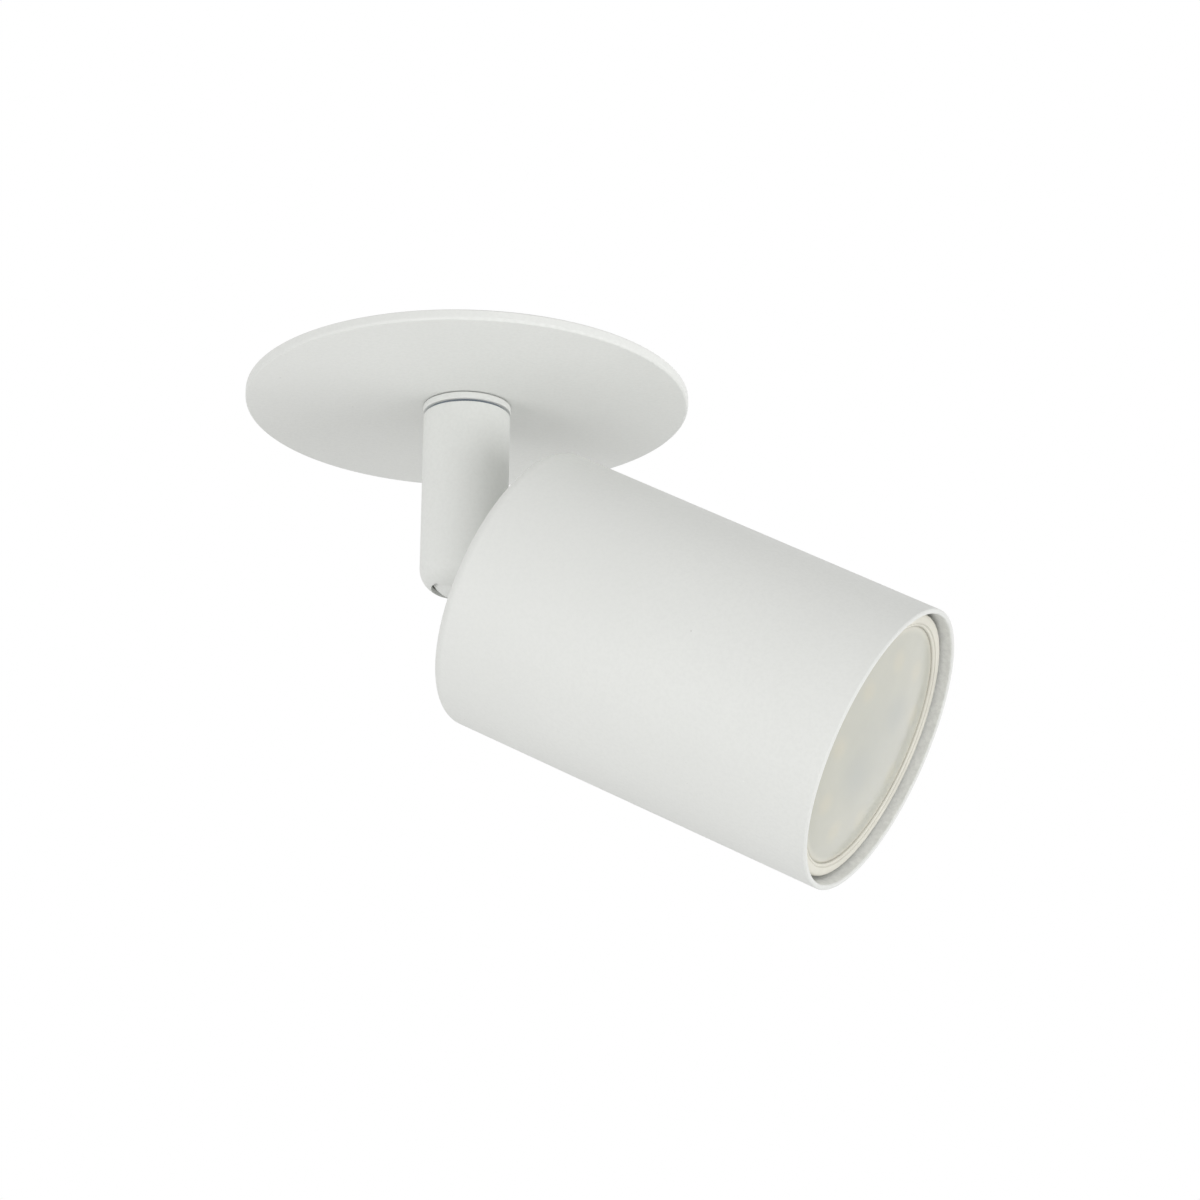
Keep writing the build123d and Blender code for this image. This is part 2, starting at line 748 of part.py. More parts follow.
holder_screws = cheese_screws(
    head_section(holder_front - holder_screw_sink),
    holder_screw_places,
    holder_screw_diameter,
    holder_depth - holder_screw_sink + bracket_sheet + hole_gap,
    holder_screw_head_diameter,
    holder_screw_head_height,
)
finish(holder_screws, "holder_screws")

with BuildPart() as holder_contacts:
    with BuildSketch(head_section(holder_slot_floor)):
        with Locations(*pin_places):
            Rectangle(contact_width, contact_width)
    extrude(amount=contact_thickness)
    with BuildSketch(head_section(holder_slot_floor)):
        with Locations(*pin_places):
            Circle(contact_tail_diameter / 2)
    extrude(amount=contact_tail_end - holder_slot_floor)
finish(holder_contacts, "holder_contacts")

# Leads from the knuckle's channel to the contacts
with BuildPart() as head_leads:
    for side in (-1, 1):
        across = tilt_axis * side * pin_spacing / 2
        above = head_rise * side * lead_half_spacing
        route = [
            pivot_point + head_axis * lead_start + above,
            pivot_point + head_axis * (knuckle_end + lead_clear) + above,
            pivot_point + head_axis * (contact_tail_end - lead_square) + across,
            pivot_point + head_axis * contact_tail_end + across,
        ]
        radii = bend_radii(route)
        print("head lead bends", [round(r, 2) for r in radii])
        with BuildLine() as lead_path:
            FilletPolyline(*route, radius=radii)
        with BuildSketch(Plane(origin=route[0], z_dir=route[1] - route[0])):
            Circle(lead_diameter / 2)
        sweep(path=lead_path.wire())
finish(head_leads, "head_leads")

# Lamp bezel: the ring that frames the diffuser
bezel_radius = bezel_diameter / 2
bezel_opening = bezel_radius - bezel_width
bezel_seat = lamp_face - bezel_lip
skirt_bore = bezel_radius - bezel_wall
bezel_outline = [
    (lamp_face, bezel_opening),
    (lamp_face, bezel_radius),
    (lamp_face - bezel_depth, bezel_radius),
    (lamp_face - bezel_depth, skirt_bore),
    (bezel_seat, skirt_bore),
    (bezel_seat, bezel_opening),
]
bezel_rounds = [bezel_inner_round, bezel_outer_round, 0, 0, 0, 0]
lamp_bezel = turned(bezel_outline, head_side, head_line, bezel_rounds)
finish(lamp_bezel, "lamp_bezel")

# Frosted diffuser, slightly domed, held behind the bezel's lip
diffuser_edge = skirt_bore - thread_gap
diffuser_window = bezel_opening - thread_gap
diffuser_face = lamp_face - diffuser_recess
diffuser_back = bezel_seat - diffuser_thickness
with BuildPart() as lamp_diffuser:
    with BuildSketch(head_side):
        with BuildLine():
            Line((diffuser_back, 0), (diffuser_back, diffuser_edge))
            Line((diffuser_back, diffuser_edge), (bezel_seat, diffuser_edge))
            Line((bezel_seat, diffuser_edge), (bezel_seat, diffuser_window))
            Line((bezel_seat, diffuser_window), (diffuser_face, diffuser_window))
            dome_sphere = (diffuser_window**2 + diffuser_dome**2) / (2 * diffuser_dome)
            dome_top = diffuser_face + diffuser_dome
            dome_angle = degrees(asin(diffuser_window / dome_sphere))
            CenterArc((dome_top - dome_sphere, 0), dome_sphere, 0, dome_angle)
            Line((dome_top, 0), (diffuser_back, 0))
        make_face()
    revolve(axis=head_line)
finish(lamp_diffuser, "lamp_diffuser")

# Lamp housing: straight behind the bezel, then a cone down to the base
housing_front = diffuser_back
housing_radius = diffuser_edge
housing_shoulder = led_board_back - housing_wall
housing_outline = [
    (housing_front, housing_radius - housing_wall),
    (housing_front, housing_radius),
    (housing_shoulder, housing_radius),
    (lamp_base_start, housing_neck_diameter / 2),
    (lamp_base_start, housing_neck_diameter / 2 - housing_wall),
    (housing_shoulder, housing_radius - 2 * housing_wall),
    (led_board_back, housing_radius - 2 * housing_wall),
    (led_board_back, housing_radius - housing_wall),
]
lamp_housing = turned(housing_outline, head_side, head_line)
finish(lamp_housing, "lamp_housing")

# Lamp base with its narrower nose, hollow for the driver board
base_radius = lamp_base_diameter / 2
nose_radius = lamp_nose_diameter / 2
nose_end = lamp_base_end + lamp_nose_length
base_outline = [
    (lamp_base_end, 0),
    (lamp_base_end, nose_radius),
    (nose_end, nose_radius),
    (nose_end, base_radius),
    (lamp_base_start - housing_wall, base_radius),
    (lamp_base_start - housing_wall, housing_neck_diameter / 2),
    (lamp_base_start, housing_neck_diameter / 2),
    (lamp_base_start, base_radius - housing_wall),
    (nose_end + housing_wall, base_radius - housing_wall),
    (nose_end + housing_wall, 0),
]
base_rounds = [0, lamp_edge_round, 0, lamp_base_round, 0, lamp_edge_round, 0, 0, 0, 0]
lamp_base = turned(base_outline, head_side, head_line, base_rounds)
finish(lamp_base, "lamp_base")

with BuildPart() as lamp_pins:
    with BuildSketch(head_section(lamp_base_end)):
        with Locations(*pin_places):
            Circle(pin_neck_diameter / 2)
    extrude(amount=-pin_length)
    with BuildSketch(head_section(pin_end)):
        with Locations(*pin_places):
            Circle(pin_head_diameter / 2)
    extrude(amount=pin_head_height)
finish(lamp_pins, "lamp_pins")

# Light source: round board, chips on a circle, and the driver board behind with its parts
led_board = disc(head_section(led_board_back), housing_radius - housing_wall - hole_gap, led_board_thickness)
finish(led_board, "led_board")

with BuildPart() as led_chips:
    with BuildSketch(head_section(led_board_front)):
        with PolarLocations(led_circle_diameter / 2, led_count):
            Rectangle(led_size, led_size)
    extrude(amount=led_height)
finish(led_chips, "led_chips")

driver_start = nose_end + housing_wall
driver_length = led_board_back - driver_start
with BuildPart() as driver_board:
    with BuildSketch(head_section(driver_start)):
        Rectangle(driver_board_width, driver_board_thickness)
    extrude(amount=driver_length)
finish(driver_board, "driver_board")

driver_face = driver_board_thickness / 2
capacitor_start = driver_start + driver_margin
coil_start = capacitor_start + capacitor_length + driver_margin / 2
with BuildPart() as driver_parts:
    with BuildSketch(head_section(capacitor_start)):
        with Locations((0, driver_face + capacitor_diameter / 2)):
            Circle(capacitor_diameter / 2)
    extrude(amount=capacitor_length)
    with BuildSketch(head_section(coil_start)):
        with Locations((0, driver_face + coil_size / 2)):
            Rectangle(coil_size, coil_size)
    extrude(amount=coil_size)
    with BuildSketch(head_section(capacitor_start)):
        with Locations((0, -driver_face - chip_height / 2)):
            Rectangle(chip_length, chip_height)
    extrude(amount=chip_length)
finish(driver_parts, "driver_parts")

# Ceiling clips, one on each side of the bracket
saddle_top = base_sheet + saddle_sheet
pad_reach = arm_tip + pad_side_wall
pad_half_height = arm_sheet / 2 + pad_wall
pad_drop = clip_pin_height - clip_tip_gap
pad_angle = atan2(pad_half_height, pad_reach)
arm_drop = asin(pad_drop / sqrt(pad_reach**2 + pad_half_height**2)) - pad_angle
print("clip arm slopes", round(degrees(arm_drop), 2), "degrees")


def upright(side, y):
    """An upright plane across the pin of the clip on one side, with X outwards and Y up."""
    return Plane(origin=(0, side * y, 0), x_dir=(side, 0, 0), z_dir=(0, -side, 0))


def arm_level(side, height=0.0):
    """The plane of one clip's arm, with its origin on the pin and X towards the tip."""
    along = Vector(side * cos(arm_drop), 0, -sin(arm_drop))
    normal = Vector(side * sin(arm_drop), 0, cos(arm_drop))
    pin_point = Vector(side * clip_pin_x, 0, clip_pin_height)
    return Plane(origin=pin_point + normal * height, x_dir=along, z_dir=normal)


def clip_saddle(side):
    with BuildPart() as saddle:
        with BuildSketch(Plane.XY.offset(base_sheet)):
            with Locations((side * (saddle_inner_x + saddle_outer_x) / 2, 0)):
                Rectangle(saddle_length, 2 * (saddle_half_gap + saddle_sheet))
            with Locations(*rivet_places):
                Circle(rivet_diameter / 2, mode=Mode.SUBTRACT)
        extrude(amount=saddle_sheet)
        for y in (-saddle_half_gap, saddle_half_gap + saddle_sheet):
            with BuildSketch(upright(side, y)):
                with Locations((clip_pin_x, (base_sheet + clip_pin_height) / 2)):
                    Rectangle(2 * saddle_lug_radius, clip_pin_height - base_sheet)
                with Locations((clip_pin_x, clip_pin_height)):
                    Circle(saddle_lug_radius)
                    Circle(clip_pin_diameter / 2 + thread_gap, mode=Mode.SUBTRACT)
            extrude(amount=saddle_sheet)
    return saddle


def clip_arm(side):
    with BuildPart() as arm:
        with BuildSketch(arm_level(side, -arm_sheet / 2)):
            with Locations(((arm_web_start + arm_tip) / 2, 0)):
                Rectangle(arm_tip - arm_web_start, 2 * arm_half_width)
        extrude(amount=arm_sheet)
        for y in (arm_tab_sheet - arm_half_width, arm_half_width):
            centre = arm_level(side).origin + Vector(0, side * y, 0)
            with BuildSketch(Plane(origin=centre, x_dir=arm_level(side).x_dir, z_dir=(0, -side, 0))):
                Circle(arm_hub_radius)
                with Locations((arm_tab_reach / 2, (arm_sheet / 2 - arm_tab_drop) / 2)):
                    Rectangle(arm_tab_reach, arm_sheet / 2 + arm_tab_drop)
                Circle(clip_pin_diameter / 2 + running_gap, mode=Mode.SUBTRACT)
            extrude(amount=arm_tab_sheet)
    return arm


def clip_pad(side):
    with BuildPart() as pad:
        with BuildSketch(arm_level(side, -pad_half_height)):
            with Locations((pad_reach - pad_length / 2, 0)):
                Rectangle(pad_length, 2 * (arm_half_width + pad_side_wall))
        extrude(amount=2 * pad_half_height)
        fillet(pad.edges(), radius=pad_edge_round)
        with BuildSketch(arm_level(side, -arm_sheet / 2)):
            with Locations((arm_tip - pad_length / 2, 0)):
                Rectangle(pad_length, 2 * arm_half_width)
        extrude(amount=arm_sheet, mode=Mode.SUBTRACT)
    return pad


def biarc(start, start_way, end, end_way):
    """Draws two arcs that leave start and reach end in the given directions."""
    chord = end - start
    both = start_way + end_way
    spread = 2 * (1 - start_way.dot(end_way))
    reach = (sqrt(chord.dot(both) ** 2 + spread * chord.dot(chord)) - chord.dot(both)) / spread
    first_corner = start + start_way * reach
    second_corner = end - end_way * reach
    joint = (first_corner + second_corner) / 2
    TangentArc(start, joint, tangent=start_way)
    TangentArc(joint, end, tangent=second_corner - first_corner)


def clip_spring(side):
    """One wire: a hook onto the arm, coils round the pin, and a tail down to the saddle."""
    first = pi / 2 - arm_drop
    whole = pi - first + 2 * pi * spring_whole_turns
    quarters = round(whole / (pi / 2))
    rise = spring_pitch / (2 * pi)
    middle = Vector(side * clip_pin_x, 0, clip_pin_height)

    def on_coil(turn):
        angle = first + turn
        across = Vector(side * cos(angle), 0, sin(angle)) * spring_coil_radius
        return middle + across + Vector(0, side * rise * (turn - whole / 2), 0)

    def coil_way(turn, climb):
        angle = first + turn
        around = Vector(-side * sin(angle), 0, cos(angle)) * spring_coil_radius
        return (around + Vector(0, side * climb, 0)).normalized()

    turns = [whole * k / quarters for k in range(quarters + 1)]
    ways = [coil_way(turn, 0 if turn in (turns[0], turns[-1]) else rise) for turn in turns]
    arm_normal = arm_level(side).z_dir
    hook_corner = on_coil(0) - ways[0] * spring_hook_reach
    hook_end = hook_corner - arm_normal * (spring_coil_radius - arm_sheet / 2)
    tail_end = Vector(on_coil(whole).X, on_coil(whole).Y, saddle_top)
    with BuildPart() as spring:
        with BuildLine() as wire_path:
            FilletPolyline(hook_end, hook_corner, on_coil(0), radius=spring_hook_radius)
            for k in range(quarters):
                biarc(on_coil(turns[k]), ways[k], on_coil(turns[k + 1]), ways[k + 1])
            Line(on_coil(whole), tail_end)
        with BuildSketch(Plane(origin=hook_end, z_dir=arm_normal)):
            Circle(spring_wire / 2)
        sweep(path=wire_path.wire())
    samples = [on_coil(whole * k / spring_samples) for k in range(spring_samples + 1)]
    apart = int(spring_samples * pi / whole)
    gaps = [(a - b).length for i, a in enumerate(samples) for b in samples[i + apart:]]
    print("clip spring's least gap to itself", round(min(gaps) - spring_wire, 3))
    return spring


for side, hand in ((-1, "left"), (1, "right")):
    finish(clip_saddle(side), f"clip_saddle_{hand}")
    finish(clip_arm(side), f"clip_arm_{hand}")
    finish(clip_pad(side), f"clip_pad_{hand}")
    finish(clip_spring(side), f"clip_spring_{hand}")

with BuildPart() as clip_pins:
    pin_half_length = saddle_half_gap + saddle_sheet
    pin_centres = [(-clip_pin_x, clip_pin_height), (clip_pin_x, clip_pin_height)]
    with BuildSketch(Plane.XZ):
        with Locations(*pin_centres):
            Circle(clip_pin_diameter / 2)
    extrude(amount=pin_half_length, both=True)
    for offset, way in ((pin_half_length, 1), (-pin_half_length, -1)):
        with BuildSketch(Plane.XZ.offset(offset)):
            with Locations(*pin_centres):
                Circle(clip_pin_head_diameter / 2)
        extrude(amount=way * clip_pin_head_height)
finish(clip_pins, "clip_pins")

with BuildPart() as saddle_rivets:
    with BuildSketch(Plane.XY):
        with Locations(*rivet_places):
            Circle(rivet_diameter / 2)
    extrude(amount=saddle_top)
    with BuildSketch(Plane.XY.offset(saddle_top)):
        with Locations(*rivet_places):
            Circle(rivet_head_diameter / 2)
    extrude(amount=rivet_head_height)
    fillet(saddle_rivets.edges().group_by(Axis.Z)[-1], radius=rivet_head_round)
finish(saddle_rivets, "saddle_rivets")

# Terminal block with its brass tubes and screws
pole_places = [(-pole_spacing / 2, lead_height), (pole_spacing / 2, lead_height)]
block_top = lead_height + tube_diameter / 2 + block_top_wall
screw_rows = (block_front + terminal_screw_inset, block_front + block_depth - terminal_screw_inset)
terminal_screw_places = [(x, y) for x, height in pole_places for y in screw_rows]
with BuildPart() as terminal_block:
    with BuildSketch(Plane.XY.offset(base_sheet)):
        with Locations((0, block_centre_y)):
            Rectangle(block_width, block_depth)
    extrude(amount=block_top - base_sheet)
    fillet(terminal_block.edges().filter_by(Axis.Z), radius=block_edge_round)
    fillet(terminal_block.edges().group_by(Axis.Z)[-1], radius=block_edge_round)
    with BuildSketch(Plane.XZ.offset(-block_front)):
        with Locations(*pole_places):
            Circle(tube_diameter / 2 + thread_gap)
    extrude(amount=-block_depth, mode=Mode.SUBTRACT)
    with BuildSketch(Plane.XY.offset(block_top)):
        with Locations(*terminal_screw_places):
            Circle(terminal_screw_diameter / 2 + thread_gap)
    extrude(amount=lead_height - block_top, mode=Mode.SUBTRACT)
    with BuildSketch(Plane.XY.offset(base_sheet)):
        with Locations((0, block_centre_y)):
            Circle(block_screw_diameter / 2 + hole_gap)
    extrude(amount=block_top - base_sheet, mode=Mode.SUBTRACT)
    with BuildSketch(Plane.XY.offset(block_top)):
        with Locations((0, block_centre_y)):
            Circle(block_screw_head_diameter / 2 + hole_gap)
    extrude(amount=-block_screw_head_depth, mode=Mode.SUBTRACT)
finish(terminal_block, "terminal_block")

tube_front = block_front + tube_inset
tube_length = block_depth - 2 * tube_inset
socket_length = (tube_length - tube_web) / 2
with BuildPart() as terminal_tubes:
    with BuildSketch(Plane.XZ.offset(-tube_front)):
        with Locations(*pole_places):
            Circle(tube_diameter / 2)
    extrude(amount=-tube_length)
    for start, way in ((tube_front, -1), (tube_front + tube_length, 1)):
        with BuildSketch(Plane.XZ.offset(-start)):
            with Locations(*pole_places):
                Circle(tube_bore / 2)
        extrude(amount=way * socket_length, mode=Mode.SUBTRACT)
    with BuildSketch(Plane.XY.offset(block_top)):
        with Locations(*terminal_screw_places):
            Circle(terminal_screw_diameter / 2 + thread_gap)
    extrude(amount=lead_height - block_top, mode=Mode.SUBTRACT)
finish(terminal_tubes, "terminal_tubes")

# The row towards the supply cable stands open, clear of the tubes' bores
screw_ends = (lead_height + lead_diameter / 2, lead_height + tube_bore / 2 + hole_gap / 2)
with BuildPart() as terminal_screws:
    for row, end in zip(screw_rows, screw_ends):
        row_screws = cheese_screws(
            Plane.XY.offset(end + terminal_screw_length - 2 * screw_slot_depth),
            [(x, row) for x, height in pole_places],
            terminal_screw_diameter,
            terminal_screw_length - 2 * screw_slot_depth,
            terminal_screw_diameter,
            2 * screw_slot_depth,
        )
        add(row_screws.part)
finish(terminal_screws, "terminal_screws")

block_screw_seat = block_top - block_screw_head_depth
terminal_block_screw = cheese_screws(
    Plane.XY.offset(block_screw_seat),
    [(0, block_centre_y)],
    block_screw_diameter,
    block_screw_seat,
    block_screw_head_diameter,
    block_screw_head_height,
)
finish(terminal_block_screw, "terminal_block_screw")

# Saddle clamp for the supply cable, which comes in along Y
cable_radius = cable_diameter / 2
cable_height = base_sheet + cable_radius
strap_radius = cable_radius + clamp_sheet
with BuildPart() as cable_clamp:
    with BuildSketch(Plane.XZ.offset(-clamp_y)):
        with Locations((0, cable_height)):
            Circle(strap_radius)
        with Locations((0, base_sheet + cable_radius / 2)):
            Rectangle(2 * strap_radius, cable_radius)
        with Locations((0, base_sheet + clamp_sheet / 2)):
            Rectangle(2 * (strap_radius + clamp_foot), clamp_sheet)
        with Locations((0, cable_height)):
            Circle(cable_radius, mode=Mode.SUBTRACT)
        with Locations((0, base_sheet + cable_radius / 2)):
            Rectangle(2 * cable_radius, cable_radius, mode=Mode.SUBTRACT)
        with Locations((0, base_sheet - strap_radius)):
            Rectangle(2 * strap_radius, 2 * strap_radius, mode=Mode.SUBTRACT)
    extrude(amount=clamp_width / 2, both=True)
    with BuildSketch(Plane.XY.offset(base_sheet)):
        with Locations(*clamp_screw_places):
            Circle(clamp_screw_diameter / 2 + hole_gap)
    extrude(amount=clamp_sheet, mode=Mode.SUBTRACT)
finish(cable_clamp, "cable_clamp")

clamp_screws = cheese_screws(
    Plane.XY.offset(base_sheet + clamp_sheet),
    clamp_screw_places,
    clamp_screw_diameter,
    base_sheet + clamp_sheet,
    clamp_screw_head_diameter,
    clamp_screw_head_height,
)
finish(clamp_screws, "clamp_screws")

# Leads from the bushing over to the terminal block
with BuildPart() as supply_leads:
    for side in (-1, 1):
        foot = outward * side * lead_half_spacing + upward * lead_exit
        pole_x = side * pole_spacing / 2
        crest = foot + upward * (lead_rise + lead_bend) + Vector(side * lead_spread, lead_bend, 0)
        route = [
            foot,
            foot + upward * lead_rise,
            crest,
            Vector(pole_x, block_front - lead_straight, lead_height),
            Vector(pole_x, tube_front + lead_in_tube, lead_height),
        ]
        radii = bend_radii(route)
        print("supply lead bends", [round(r, 2) for r in radii])
        with BuildLine() as lead_path:
            FilletPolyline(*route, radius=radii)
        with BuildSketch(Plane(origin=route[0], z_dir=route[1] - route[0])):
            Circle(lead_diameter / 2)
        sweep(path=lead_path.wire())
finish(supply_leads, "supply_leads")
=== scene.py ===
from math import cos, pi, radians, sin, sqrt

import bmesh
import bpy
from mathutils import Matrix, Vector


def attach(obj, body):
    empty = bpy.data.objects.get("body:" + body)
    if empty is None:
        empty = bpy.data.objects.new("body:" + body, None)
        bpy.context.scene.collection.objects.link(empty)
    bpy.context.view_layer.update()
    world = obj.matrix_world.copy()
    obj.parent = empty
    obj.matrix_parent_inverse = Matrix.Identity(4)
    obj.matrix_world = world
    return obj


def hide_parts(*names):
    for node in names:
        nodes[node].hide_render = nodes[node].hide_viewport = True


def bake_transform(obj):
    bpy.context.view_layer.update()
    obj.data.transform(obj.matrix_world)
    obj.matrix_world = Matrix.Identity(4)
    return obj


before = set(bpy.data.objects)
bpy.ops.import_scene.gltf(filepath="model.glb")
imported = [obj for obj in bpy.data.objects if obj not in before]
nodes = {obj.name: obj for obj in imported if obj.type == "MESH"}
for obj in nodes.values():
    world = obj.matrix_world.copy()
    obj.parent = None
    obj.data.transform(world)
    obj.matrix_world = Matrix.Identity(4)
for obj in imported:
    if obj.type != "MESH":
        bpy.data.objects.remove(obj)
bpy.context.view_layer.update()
scene = bpy.context.scene
scene.view_settings.view_transform = "Standard"

# Blender works in metres. Sizes here are in millimetres, unless a comment says metres
MM = 0.001

# The head's own frame, from the same values as the solids: X along the pivot, Y up, Z out of the lamp
HEAD_AZIMUTH = radians(-17.4)
HEAD_DROP = radians(28.0)
PIVOT = Vector((0, 0, -33.4)) * MM
upward = Vector((0, 0, 1))
outward = Vector((cos(HEAD_AZIMUTH), sin(HEAD_AZIMUTH), 0))
tilt_axis = Vector((-outward.y, outward.x, 0))
head_axis = outward * cos(HEAD_DROP) - upward * sin(HEAD_DROP)
head_rise = outward * sin(HEAD_DROP) + upward * cos(HEAD_DROP)
head_frame = Matrix.Translation(PIVOT) @ Matrix((tilt_axis, head_rise, head_axis)).transposed().to_4x4()

# The casing and the lamp's face, from the pivot along the head's axis
HEAD_GAP = 10.8
HEAD_LENGTH = 77.7
HEAD_BORE_RADIUS = 26.0
LAMP_RECESS = 1.9
CASING_RIM = HEAD_GAP + HEAD_LENGTH
LAMP_FACE = CASING_RIM - LAMP_RECESS

# Where the casing's painted light and shade change: painted light inside its walls, each step within a
# wall's thickness, and painted shade on its rim
INSIDE_RADIUS = HEAD_BORE_RADIUS + 0.2
OUTSIDE_RADIUS = HEAD_BORE_RADIUS + 0.6
OUTSIDE_END = HEAD_GAP + 1.0
INSIDE_START = HEAD_GAP + 1.6
RIM_SHADE_START = CASING_RIM - 0.25
RIM_SHADE_FULL = CASING_RIM - 0.1


# Materials, with the scales of noise and specks in features per metre
class Look:
    """A new material and short ways to add and join its nodes."""

    def __init__(self, name, roughness, metallic=0.0):
        self.material = bpy.data.materials.new(name)
        self.material.use_nodes = True
        self.tree = self.material.node_tree
        self.shader = self.tree.nodes["Principled BSDF"]
        self.set("Metallic", metallic)
        self.set("Roughness", roughness)
        self.place = self.add("ShaderNodeTexCoord").outputs["Object"]

    def add(self, kind, **settings):
        """A new node with the given settings."""
        node = self.tree.nodes.new(kind)
        for key, value in settings.items():
            setattr(node, key, value)
        return node

    def feed(self, socket, value):
        """Gives a socket a plain value or another node's output."""
        if isinstance(value, bpy.types.NodeSocket):
            self.tree.links.new(value, socket)
        else:
            socket.default_value = value

    def set(self, name, value):
        """Gives one of the surface's own sockets a plain value or another node's output."""
        self.feed(self.shader.inputs[name], value)

    def noise(self, scale, detail=2.0, roughness=0.5, stretch=None):
        """A soft random pattern, stretched where three factors are given."""
        node = self.add("ShaderNodeTexNoise")
        node.inputs["Scale"].default_value = scale
        node.inputs["Detail"].default_value = detail
        node.inputs["Roughness"].default_value = roughness
        place = self.mapped(scale=stretch) if stretch else self.place
        self.feed(node.inputs["Vector"], place)
        return node.outputs["Fac"]

    def mapped(self, scale=(1, 1, 1), rotation=(0, 0, 0)):
        """The place on the object, scaled and turned."""
        node = self.add("ShaderNodeMapping")
        node.inputs["Scale"].default_value = scale
        node.inputs["Rotation"].default_value = rotation
        self.feed(node.inputs["Vector"], self.place)
        return node.outputs["Vector"]

    def along(self, direction):
        """How far a point lies from the pivot in a direction."""
        apart = self.add("ShaderNodeVectorMath", operation="SUBTRACT")
        self.feed(apart.inputs[0], self.place)
        apart.inputs[1].default_value = PIVOT
        node = self.add("ShaderNodeVectorMath", operation="DOT_PRODUCT")
        self.feed(node.inputs[0], apart.outputs[0])
        node.inputs[1].default_value = direction
        return node.outputs["Value"]

    def math(self, operation, a, b=0.0):
        """The result of an operation on one or two values."""
        node = self.add("ShaderNodeMath", operation=operation)
        self.feed(node.inputs[0], a)
        self.feed(node.inputs[1], b)
        return node.outputs[0]

    def length(self, x, y):
        """Distance from zero of a point given by two coordinates."""
        squares = self.math("ADD", self.math("MULTIPLY", x, x), self.math("MULTIPLY", y, y))
        return self.math("SQRT", squares)

    def ramp(self, value, low, high, at_low=0.0, at_high=1.0):
        """Turns a value from low to high into a smooth change from at_low to at_high."""
        node = self.add("ShaderNodeMapRange", interpolation_type="SMOOTHSTEP")
        self.feed(node.inputs["Value"], value)
        node.inputs["From Min"].default_value = low
        node.inputs["From Max"].default_value = high
        node.inputs["To Min"].default_value = at_low
        node.inputs["To Max"].default_value = at_high
        return node.outputs["Result"]

    def mix(self, factor, a, b):
        """A mix of two colours, which the node takes at its sockets 6 and 7 and gives at socket 2."""
        node = self.add("ShaderNodeMix", data_type="RGBA")
        self.feed(node.inputs[0], factor)
        self.feed(node.inputs[6], a)
        self.feed(node.inputs[7], b)
        return node.outputs[2]

    def bump(self, height, distance, strength, below=None):
        """A surface direction from a height, on top of another bump where one is given."""
        node = self.add("ShaderNodeBump")
        node.inputs["Strength"].default_value = strength
        node.inputs["Distance"].default_value = distance
        self.feed(node.inputs["Height"], height)
        if below:
            self.feed(node.inputs["Normal"], below)
        return node.outputs["Normal"]

    def specks(self, cells, size, share, place=None):
        """Small round specks on a share of the cells of an even random pattern."""
        pattern = self.add("ShaderNodeTexVoronoi")
        pattern.inputs["Scale"].default_value = cells
        self.feed(pattern.inputs["Vector"], place or self.place)
        dot = self.ramp(pattern.outputs["Distance"], low=size * 0.6, high=size, at_low=1.0, at_high=0.0)
        split = self.add("ShaderNodeSeparateColor")
        self.feed(split.inputs[0], pattern.outputs["Color"])
        chosen = self.math("LESS_THAN", split.outputs[0], share)
        return self.math("MULTIPLY", dot, chosen)

    def patch(self, x, y, centre, x_factor, core, reach, strength):
        """A soft patch round a centre in millimetres, where distances along x count by a factor."""
        across = self.math("SUBTRACT", x, centre[0] * MM)
        up = self.math("SUBTRACT", y, centre[1] * MM)
        distance = self.length(self.math("MULTIPLY", across, x_factor), up)
        return self.ramp(distance, low=core * MM, high=reach * MM, at_low=strength, at_high=0.0)


def rgba(r, g, b):
    return (r, g, b, 1.0)


def shade(colour, factor):
    """A colour made lighter or darker by a factor."""
    return rgba(*(min(1.0, c * factor) for c in colour))


def powder_coat(name, colour, finish=None):
    """Matt paint with a fine grain, a faint unevenness and a few specks of dust."""
    look = Look(name, roughness=0.6)
    broad = look.noise(scale=22.0)
    fine = look.noise(scale=1500.0, detail=3.0, roughness=0.6)
    orange_peel = look.noise(scale=420.0)
    tone = look.mix(look.ramp(broad, 0.3, 0.7), shade(colour, 0.985), shade(colour, 1.012))
    tone = look.mix(look.ramp(fine, 0.35, 0.7, at_high=0.5), tone, shade(colour, 0.955))
    dark = look.specks(cells=230.0, size=0.045, share=0.2)
    tone = look.mix(look.math("MULTIPLY", dark, 0.3), tone, rgba(0.25, 0.24, 0.22))
    pale = look.specks(cells=310.0, size=0.05, share=0.12, place=look.mapped(rotation=(0.7, 0.4, 1.1)))
    tone = look.mix(look.math("MULTIPLY", pale, 0.3), tone, rgba(0.90, 0.90, 0.88))
    # For the head casing, finish paints light inside the casing and shade on its rim
    if finish:
        tone = finish(look, colour, tone)
    look.set("Base Color", tone)
    look.set("Roughness", look.ramp(fine, 0.3, 0.7, at_low=0.52, at_high=0.68))
    peel = look.bump(orange_peel, distance=0.05 * MM, strength=0.35)
    look.set("Normal", look.bump(fine, distance=0.04 * MM, strength=0.5, below=peel))
    look.set("Specular IOR Level", 0.35)
    return look.material


